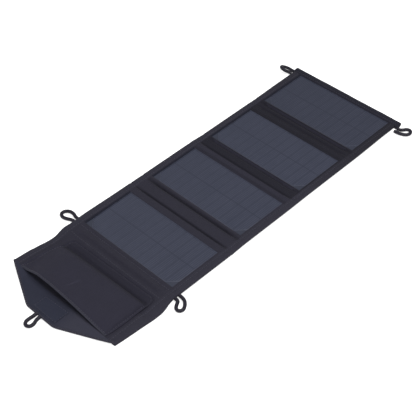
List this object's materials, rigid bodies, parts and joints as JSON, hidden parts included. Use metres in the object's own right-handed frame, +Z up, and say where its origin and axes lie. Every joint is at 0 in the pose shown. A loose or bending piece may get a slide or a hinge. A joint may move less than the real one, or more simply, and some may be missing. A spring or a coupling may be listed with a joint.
{
  "type": "foldable solar charger",
  "caption": "Roll-up fabric solar charger with framed cell panels, wide fabric folds, a regulator pocket with a flap, and cord loops for hanging.",
  "frame": {"origin": "middle of the opened strip's outline, on the surface that it lies on", "axes": "+X along the strip from the pocket flap to the far hem, +Y to the left edge seen from the flap, +Z up, away from the surface"},
  "size_m": [0.4607, 0.1896, 0.0126],
  "materials": {
    "coated_fabric": "woven polyester, coated, near black with a blue cast",
    "binding_tape": "woven edge tape, stitched",
    "cord": "braided round cord, slightly glossy",
    "solar_cell": "dark grey-blue silicon with fine grid lines",
    "laminate": "clear-faced laminate on a dark backing, satin",
    "hook_and_loop": "hook and loop tape, fuzzy",
    "copper": "flat copper ribbon",
    "circuit_board": "green solder mask",
    "stiffener": "stiff board",
    "box_plastic": "moulded black plastic, fine texture",
    "components": "moulded electronic parts",
    "socket_steel": "drawn sheet steel",
    "tongue_plastic": "white moulded plastic"
  },
  "bodies": {
    "pocket_section": {"pocket_back_fabric": "coated_fabric", "pocket_board": "stiffener", "pocket_lining": "coated_fabric", "pocket_left_tape": "binding_tape", "pocket_right_tape": "binding_tape", "pocket_front": "coated_fabric", "pocket_mouth_binding": "binding_tape", "pocket_loop_patch": "hook_and_loop", "regulator_base": "box_plastic", "regulator_lid": "box_plastic", "regulator_board": "circuit_board", "regulator_parts": "components", "usb_socket_shell": "socket_steel", "usb_socket_tongue": "tongue_plastic"},
    "flap": {"flap_fabric": "coated_fabric", "flap_edge_tape": "binding_tape", "flap_hook_patch": "hook_and_loop", "flap_tip_loop": "cord"},
    "fold_1": {"fold_1_fabric": "coated_fabric", "fold_1_ribbons": "copper"},
    "panel_1": {"panel_1_back_fabric": "coated_fabric", "panel_1_board": "stiffener", "panel_1_laminate": "laminate", "panel_1_cells": "solar_cell", "panel_1_front_fabric": "coated_fabric", "panel_1_left_tape": "binding_tape", "panel_1_right_tape": "binding_tape", "hinge_left_loop": "cord", "hinge_right_loop": "cord"},
    "fold_2": {"fold_2_fabric": "coated_fabric", "fold_2_ribbons": "copper"},
    "panel_2": {"panel_2_back_fabric": "coated_fabric", "panel_2_board": "stiffener", "panel_2_laminate": "laminate", "panel_2_cells": "solar_cell", "panel_2_front_fabric": "coated_fabric", "panel_2_left_tape": "binding_tape", "panel_2_right_tape": "binding_tape"},
    "fold_3": {"fold_3_fabric": "coated_fabric", "fold_3_ribbons": "copper"},
    "panel_3": {"panel_3_back_fabric": "coated_fabric", "panel_3_board": "stiffener", "panel_3_laminate": "laminate", "panel_3_cells": "solar_cell", "panel_3_front_fabric": "coated_fabric", "panel_3_left_tape": "binding_tape", "panel_3_right_tape": "binding_tape"},
    "fold_4": {"fold_4_fabric": "coated_fabric", "fold_4_ribbons": "copper"},
    "panel_4": {"panel_4_back_fabric": "coated_fabric", "panel_4_board": "stiffener", "panel_4_laminate": "laminate", "panel_4_cells": "solar_cell", "panel_4_front_fabric": "coated_fabric", "panel_4_left_tape": "binding_tape", "panel_4_right_tape": "binding_tape", "far_hem": "binding_tape", "far_left_loop": "cord", "far_right_loop": "cord"}
  },
  "joints": [
    {"name": "flap_hinge", "type": "hinge", "parent": "pocket_section", "child": "flap", "pos_m": [-0.19685, 0, 0.008], "axis": [0, 1, 0], "range_deg": [0, 180]},
    {"name": "fold_1_first_crease", "type": "hinge", "parent": "pocket_section", "child": "fold_1", "pos_m": [-0.15385, 0, 0.0006], "axis": [0, -1, 0], "range_deg": [0, 90]},
    {"name": "fold_1_second_crease", "type": "hinge", "parent": "fold_1", "child": "panel_1", "pos_m": [-0.12105, 0, 0.0006], "axis": [0, -1, 0], "range_deg": [0, 90]},
    {"name": "fold_2_first_crease", "type": "hinge", "parent": "panel_1", "child": "fold_2", "pos_m": [-0.04185, 0, 0.0006], "axis": [0, -1, 0], "range_deg": [0, 90]},
    {"name": "fold_2_second_crease", "type": "hinge", "parent": "fold_2", "child": "panel_2", "pos_m": [-0.02505, 0, 0.0006], "axis": [0, -1, 0], "range_deg": [0, 90]},
    {"name": "fold_3_first_crease", "type": "hinge", "parent": "panel_2", "child": "fold_3", "pos_m": [0.05255, 0, 0.0006], "axis": [0, -1, 0], "range_deg": [0, 90]},
    {"name": "fold_3_second_crease", "type": "hinge", "parent": "fold_3", "child": "panel_3", "pos_m": [0.06415, 0, 0.0006], "axis": [0, -1, 0], "range_deg": [0, 90]},
    {"name": "fold_4_first_crease", "type": "hinge", "parent": "panel_3", "child": "fold_4", "pos_m": [0.14015, 0, 0.0006], "axis": [0, -1, 0], "range_deg": [0, 90]},
    {"name": "fold_4_second_crease", "type": "hinge", "parent": "fold_4", "child": "panel_4", "pos_m": [0.14735, 0, 0.0006], "axis": [0, -1, 0], "range_deg": [0, 90]}
  ],
  "couplings": [
    {"joint": "fold_1_second_crease", "follows": "fold_1_first_crease", "ratio": 1},
    {"joint": "fold_2_second_crease", "follows": "fold_2_first_crease", "ratio": 1},
    {"joint": "fold_3_second_crease", "follows": "fold_3_first_crease", "ratio": 1},
    {"joint": "fold_4_second_crease", "follows": "fold_4_first_crease", "ratio": 1}
  ]
}
